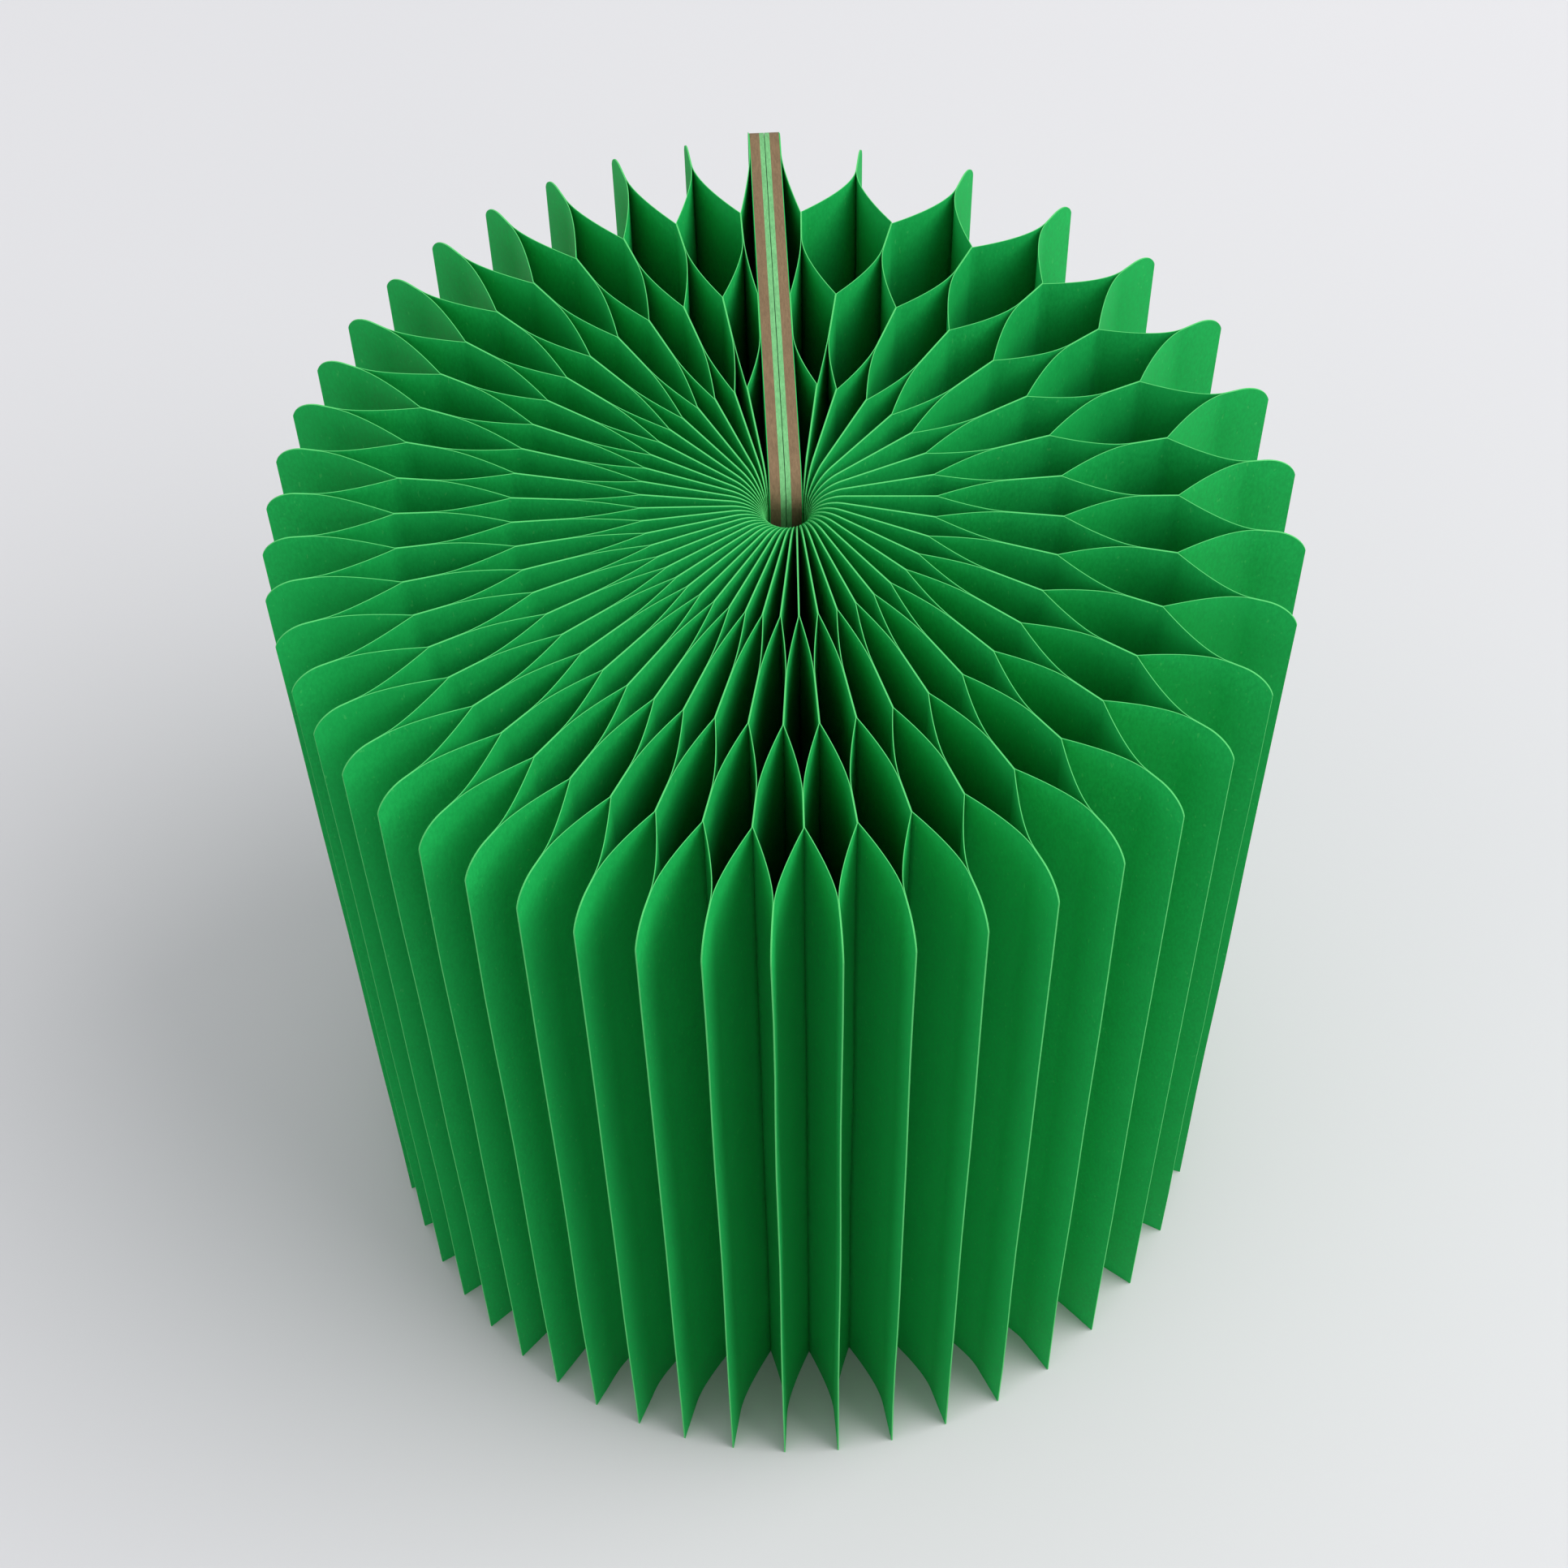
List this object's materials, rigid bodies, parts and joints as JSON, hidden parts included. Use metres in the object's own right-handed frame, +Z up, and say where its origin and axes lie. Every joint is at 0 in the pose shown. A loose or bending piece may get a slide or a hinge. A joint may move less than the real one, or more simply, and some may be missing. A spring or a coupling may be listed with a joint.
{
  "type": "accordion paper lantern",
  "caption": "Honeycomb paper lantern opened right round into a standing cylinder, with two cover boards that meet back to back; it folds flat like a book.",
  "frame": {"origin": "on the axis of the hub opening, level with the bottom edges the lantern stands on", "axes": "+Z up along the hub axis; +Y from the hub along the plane where the two covers meet; +X towards the right cover"},
  "size_m": [0.1739, 0.1748, 0.206],
  "materials": {
    "paper": "matte",
    "board": "matte",
    "card": "matte",
    "magnet": "satin"
  },
  "bodies": {
    "left_cover": {"left_cover_card": "card", "left_cover_board": "board", "left_magnets": "magnet", "left_end_leaf": "paper", "left_folded_leaf": "paper"},
    "fin_01": {"fin_01": "paper"},
    "fin_02": {"fin_02": "paper"},
    "fin_03": {"fin_03": "paper"},
    "fin_04": {"fin_04": "paper"},
    "fin_05": {"fin_05": "paper"},
    "fin_06": {"fin_06": "paper"},
    "fin_07": {"fin_07": "paper"},
    "fin_08": {"fin_08": "paper"},
    "fin_09": {"fin_09": "paper"},
    "fin_10": {"fin_10": "paper"},
    "fin_11": {"fin_11": "paper"},
    "fin_12": {"fin_12": "paper"},
    "fin_13": {"fin_13": "paper"},
    "fin_14": {"fin_14": "paper"},
    "fin_15": {"fin_15": "paper"},
    "fin_16": {"fin_16": "paper"},
    "fin_17": {"fin_17": "paper"},
    "fin_18": {"fin_18": "paper"},
    "fin_19": {"fin_19": "paper"},
    "fin_20": {"fin_20": "paper"},
    "fin_21": {"fin_21": "paper"},
    "fin_22": {"fin_22": "paper"},
    "fin_23": {"fin_23": "paper"},
    "fin_24": {"fin_24": "paper"},
    "fin_25": {"fin_25": "paper"},
    "fin_26": {"fin_26": "paper"},
    "fin_27": {"fin_27": "paper"},
    "fin_28": {"fin_28": "paper"},
    "fin_29": {"fin_29": "paper"},
    "fin_30": {"fin_30": "paper"},
    "fin_31": {"fin_31": "paper"},
    "fin_32": {"fin_32": "paper"},
    "fin_33": {"fin_33": "paper"},
    "fin_34": {"fin_34": "paper"},
    "fin_35": {"fin_35": "paper"},
    "fin_36": {"fin_36": "paper"},
    "fin_37": {"fin_37": "paper"},
    "fin_38": {"fin_38": "paper"},
    "fin_39": {"fin_39": "paper"},
    "fin_40": {"fin_40": "paper"},
    "fin_41": {"fin_41": "paper"},
    "fin_42": {"fin_42": "paper"},
    "right_cover": {"right_cover_card": "card", "right_cover_board": "board", "right_magnets": "magnet", "right_end_leaf": "paper", "right_folded_leaf": "paper"}
  },
  "joints": [
    {"name": "fold_01", "type": "hinge", "parent": "left_cover", "child": "fin_01", "pos_m": [-0.00291, 0.00236, 0], "axis": [0, 0, 1], "range_deg": [-8, 0], "deforming": ["left_folded_leaf", "fin_01"]},
    {"name": "fold_02", "type": "hinge", "parent": "fin_01", "child": "fin_02", "pos_m": [-0.00313, 0.00203, 0], "axis": [0, 0, 1], "range_deg": [-9.1, 0], "deforming": ["fin_02"]},
    {"name": "fold_03", "type": "hinge", "parent": "fin_02", "child": "fin_03", "pos_m": [-0.00331, 0.00167, 0], "axis": [0, 0, 1], "range_deg": [-8.72, 0], "deforming": ["fin_03"]},
    {"name": "fold_04", "type": "hinge", "parent": "fin_03", "child": "fin_04", "pos_m": [-0.00346, 0.00129, 0], "axis": [0, 0, 1], "range_deg": [-8.37, 0], "deforming": ["fin_04"]},
    {"name": "fold_05", "type": "hinge", "parent": "fin_04", "child": "fin_05", "pos_m": [-0.00357, 0.0009, 0], "axis": [0, 0, 1], "range_deg": [-8.04, 0], "deforming": ["fin_05"]},
    {"name": "fold_06", "type": "hinge", "parent": "fin_05", "child": "fin_06", "pos_m": [-0.00364, 0.00049, 0], "axis": [0, 0, 1], "range_deg": [-7.74, 0], "deforming": ["fin_06"]},
    {"name": "fold_07", "type": "hinge", "parent": "fin_06", "child": "fin_07", "pos_m": [-0.00367, 0.00009, 0], "axis": [0, 0, 1], "range_deg": [-7.46, 0], "deforming": ["fin_07"]},
    {"name": "fold_08", "type": "hinge", "parent": "fin_07", "child": "fin_08", "pos_m": [-0.00366, -0.00032, 0], "axis": [0, 0, 1], "range_deg": [-7.21, 0], "deforming": ["fin_08"]},
    {"name": "fold_09", "type": "hinge", "parent": "fin_08", "child": "fin_09", "pos_m": [-0.00361, -0.00073, 0], "axis": [0, 0, 1], "range_deg": [-6.98, 0], "deforming": ["fin_09"]},
    {"name": "fold_10", "type": "hinge", "parent": "fin_09", "child": "fin_10", "pos_m": [-0.00351, -0.00113, 0], "axis": [0, 0, 1], "range_deg": [-6.78, 0], "deforming": ["fin_10"]},
    {"name": "fold_11", "type": "hinge", "parent": "fin_10", "child": "fin_11", "pos_m": [-0.00338, -0.00151, 0], "axis": [0, 0, 1], "range_deg": [-6.61, 0], "deforming": ["fin_11"]},
    {"name": "fold_12", "type": "hinge", "parent": "fin_11", "child": "fin_12", "pos_m": [-0.00321, -0.00188, 0], "axis": [0, 0, 1], "range_deg": [-6.47, 0], "deforming": ["fin_12"]},
    {"name": "fold_13", "type": "hinge", "parent": "fin_12", "child": "fin_13", "pos_m": [-0.003, -0.00223, 0], "axis": [0, 0, 1], "range_deg": [-6.35, 0], "deforming": ["fin_13"]},
    {"name": "fold_14", "type": "hinge", "parent": "fin_13", "child": "fin_14", "pos_m": [-0.00276, -0.00255, 0], "axis": [0, 0, 1], "range_deg": [-6.26, 0], "deforming": ["fin_14"]},
    {"name": "fold_15", "type": "hinge", "parent": "fin_14", "child": "fin_15", "pos_m": [-0.00249, -0.00284, 0], "axis": [0, 0, 1], "range_deg": [-6.2, 0], "deforming": ["fin_15"]},
    {"name": "fold_16", "type": "hinge", "parent": "fin_15", "child": "fin_16", "pos_m": [-0.00219, -0.0031, 0], "axis": [0, 0, 1], "range_deg": [-6.16, 0], "deforming": ["fin_16"]},
    {"name": "fold_17", "type": "hinge", "parent": "fin_16", "child": "fin_17", "pos_m": [-0.00186, -0.00333, 0], "axis": [0, 0, 1], "range_deg": [-6.15, 0], "deforming": ["fin_17"]},
    {"name": "fold_18", "type": "hinge", "parent": "fin_17", "child": "fin_18", "pos_m": [-0.00151, -0.00352, 0], "axis": [0, 0, 1], "range_deg": [-6.17, 0], "deforming": ["fin_18"]},
    {"name": "fold_19", "type": "hinge", "parent": "fin_18", "child": "fin_19", "pos_m": [-0.00115, -0.00366, 0], "axis": [0, 0, 1], "range_deg": [-6.21, 0], "deforming": ["fin_19"]},
    {"name": "fold_20", "type": "hinge", "parent": "fin_19", "child": "fin_20", "pos_m": [-0.00077, -0.00377, 0], "axis": [0, 0, 1], "range_deg": [-6.28, 0], "deforming": ["fin_20"]},
    {"name": "fold_21", "type": "hinge", "parent": "fin_20", "child": "fin_21", "pos_m": [-0.00039, -0.00384, 0], "axis": [0, 0, 1], "range_deg": [-6.37, 0], "deforming": ["fin_21"]},
    {"name": "fold_22", "type": "hinge", "parent": "fin_21", "child": "fin_22", "pos_m": [0, -0.00386, 0], "axis": [0, 0, 1], "range_deg": [-6.5, 0], "deforming": ["fin_22"]},
    {"name": "fold_23", "type": "hinge", "parent": "fin_22", "child": "fin_23", "pos_m": [0.00039, -0.00384, 0], "axis": [0, 0, 1], "range_deg": [-6.64, 0], "deforming": ["fin_23"]},
    {"name": "fold_24", "type": "hinge", "parent": "fin_23", "child": "fin_24", "pos_m": [0.00077, -0.00377, 0], "axis": [0, 0, 1], "range_deg": [-6.81, 0], "deforming": ["fin_24"]},
    {"name": "fold_25", "type": "hinge", "parent": "fin_24", "child": "fin_25", "pos_m": [0.00115, -0.00366, 0], "axis": [0, 0, 1], "range_deg": [-7.01, 0], "deforming": ["fin_25"]},
    {"name": "fold_26", "type": "hinge", "parent": "fin_25", "child": "fin_26", "pos_m": [0.00151, -0.00352, 0], "axis": [0, 0, 1], "range_deg": [-7.24, 0], "deforming": ["fin_26"]},
    {"name": "fold_27", "type": "hinge", "parent": "fin_26", "child": "fin_27", "pos_m": [0.00186, -0.00333, 0], "axis": [0, 0, 1], "range_deg": [-7.49, 0], "deforming": ["fin_27"]},
    {"name": "fold_28", "type": "hinge", "parent": "fin_27", "child": "fin_28", "pos_m": [0.00219, -0.0031, 0], "axis": [0, 0, 1], "range_deg": [-7.76, 0], "deforming": ["fin_28"]},
    {"name": "fold_29", "type": "hinge", "parent": "fin_28", "child": "fin_29", "pos_m": [0.00249, -0.00284, 0], "axis": [0, 0, 1], "range_deg": [-8.07, 0], "deforming": ["fin_29"]},
    {"name": "fold_30", "type": "hinge", "parent": "fin_29", "child": "fin_30", "pos_m": [0.00276, -0.00255, 0], "axis": [0, 0, 1], "range_deg": [-8.39, 0], "deforming": ["fin_30"]},
    {"name": "fold_31", "type": "hinge", "parent": "fin_30", "child": "fin_31", "pos_m": [0.003, -0.00223, 0], "axis": [0, 0, 1], "range_deg": [-8.75, 0], "deforming": ["fin_31"]},
    {"name": "fold_32", "type": "hinge", "parent": "fin_31", "child": "fin_32", "pos_m": [0.00321, -0.00188, 0], "axis": [0, 0, 1], "range_deg": [-9.13, 0], "deforming": ["fin_32"]},
    {"name": "fold_33", "type": "hinge", "parent": "fin_32", "child": "fin_33", "pos_m": [0.00338, -0.00151, 0], "axis": [0, 0, 1], "range_deg": [-9.54, 0], "deforming": ["fin_33"]},
    {"name": "fold_34", "type": "hinge", "parent": "fin_33", "child": "fin_34", "pos_m": [0.00351, -0.00113, 0], "axis": [0, 0, 1], "range_deg": [-9.98, 0], "deforming": ["fin_34"]},
    {"name": "fold_35", "type": "hinge", "parent": "fin_34", "child": "fin_35", "pos_m": [0.00361, -0.00073, 0], "axis": [0, 0, 1], "range_deg": [-10.44, 0], "deforming": ["fin_35"]},
    {"name": "fold_36", "type": "hinge", "parent": "fin_35", "child": "fin_36", "pos_m": [0.00366, -0.00032, 0], "axis": [0, 0, 1], "range_deg": [-10.93, 0], "deforming": ["fin_36"]},
    {"name": "fold_37", "type": "hinge", "parent": "fin_36", "child": "fin_37", "pos_m": [0.00367, 0.00009, 0], "axis": [0, 0, 1], "range_deg": [-11.44, 0], "deforming": ["fin_37"]},
    {"name": "fold_38", "type": "hinge", "parent": "fin_37", "child": "fin_38", "pos_m": [0.00364, 0.00049, 0], "axis": [0, 0, 1], "range_deg": [-11.98, 0], "deforming": ["fin_38"]},
    {"name": "fold_39", "type": "hinge", "parent": "fin_38", "child": "fin_39", "pos_m": [0.00357, 0.0009, 0], "axis": [0, 0, 1], "range_deg": [-12.55, 0], "deforming": ["fin_39"]},
    {"name": "fold_40", "type": "hinge", "parent": "fin_39", "child": "fin_40", "pos_m": [0.00346, 0.00129, 0], "axis": [0, 0, 1], "range_deg": [-13.14, 0], "deforming": ["fin_40"]},
    {"name": "fold_41", "type": "hinge", "parent": "fin_40", "child": "fin_41", "pos_m": [0.00331, 0.00167, 0], "axis": [0, 0, 1], "range_deg": [-13.74, 0], "deforming": ["fin_41"]},
    {"name": "fold_42", "type": "hinge", "parent": "fin_41", "child": "fin_42", "pos_m": [0.00313, 0.00203, 0], "axis": [0, 0, 1], "range_deg": [-14.36, 0], "deforming": ["fin_42"]},
    {"name": "fold_43", "type": "hinge", "parent": "fin_42", "child": "right_cover", "pos_m": [0.00291, 0.00236, 0], "axis": [0, 0, 1], "range_deg": [-10.47, 0], "deforming": ["right_folded_leaf"]}
  ],
  "couplings": [
    {"joint": "fold_02", "follows": "fold_01", "ratio": 1.1386},
    {"joint": "fold_03", "follows": "fold_01", "ratio": 1.091},
    {"joint": "fold_04", "follows": "fold_01", "ratio": 1.0466},
    {"joint": "fold_05", "follows": "fold_01", "ratio": 1.0054},
    {"joint": "fold_06", "follows": "fold_01", "ratio": 0.96735},
    {"joint": "fold_07", "follows": "fold_01", "ratio": 0.93262},
    {"joint": "fold_08", "follows": "fold_01", "ratio": 0.90122},
    {"joint": "fold_09", "follows": "fold_01", "ratio": 0.87316},
    {"joint": "fold_10", "follows": "fold_01", "ratio": 0.84846},
    {"joint": "fold_11", "follows": "fold_01", "ratio": 0.82713},
    {"joint": "fold_12", "follows": "fold_01", "ratio": 0.80915},
    {"joint": "fold_13", "follows": "fold_01", "ratio": 0.79453},
    {"joint": "fold_14", "follows": "fold_01", "ratio": 0.78326},
    {"joint": "fold_15", "follows": "fold_01", "ratio": 0.77533},
    {"joint": "fold_16", "follows": "fold_01", "ratio": 0.77073},
    {"joint": "fold_17", "follows": "fold_01", "ratio": 0.76944},
    {"joint": "fold_18", "follows": "fold_01", "ratio": 0.77146},
    {"joint": "fold_19", "follows": "fold_01", "ratio": 0.77676},
    {"joint": "fold_20", "follows": "fold_01", "ratio": 0.78534},
    {"joint": "fold_21", "follows": "fold_01", "ratio": 0.79719},
    {"joint": "fold_22", "follows": "fold_01", "ratio": 0.81228},
    {"joint": "fold_23", "follows": "fold_01", "ratio": 0.83062},
    {"joint": "fold_24", "follows": "fold_01", "ratio": 0.8522},
    {"joint": "fold_25", "follows": "fold_01", "ratio": 0.87702},
    {"joint": "fold_26", "follows": "fold_01", "ratio": 0.90507},
    {"joint": "fold_27", "follows": "fold_01", "ratio": 0.93637},
    {"joint": "fold_28", "follows": "fold_01", "ratio": 0.97091},
    {"joint": "fold_29", "follows": "fold_01", "ratio": 1.0087},
    {"joint": "fold_30", "follows": "fold_01", "ratio": 1.0498},
    {"joint": "fold_31", "follows": "fold_01", "ratio": 1.0942},
    {"joint": "fold_32", "follows": "fold_01", "ratio": 1.142},
    {"joint": "fold_33", "follows": "fold_01", "ratio": 1.193},
    {"joint": "fold_34", "follows": "fold_01", "ratio": 1.2475},
    {"joint": "fold_35", "follows": "fold_01", "ratio": 1.3054},
    {"joint": "fold_36", "follows": "fold_01", "ratio": 1.3666},
    {"joint": "fold_37", "follows": "fold_01", "ratio": 1.431},
    {"joint": "fold_38", "follows": "fold_01", "ratio": 1.4987},
    {"joint": "fold_39", "follows": "fold_01", "ratio": 1.5694},
    {"joint": "fold_40", "follows": "fold_01", "ratio": 1.6428},
    {"joint": "fold_41", "follows": "fold_01", "ratio": 1.7186},
    {"joint": "fold_42", "follows": "fold_01", "ratio": 1.7964},
    {"joint": "fold_43", "follows": "fold_01", "ratio": 1.3098}
  ]
}
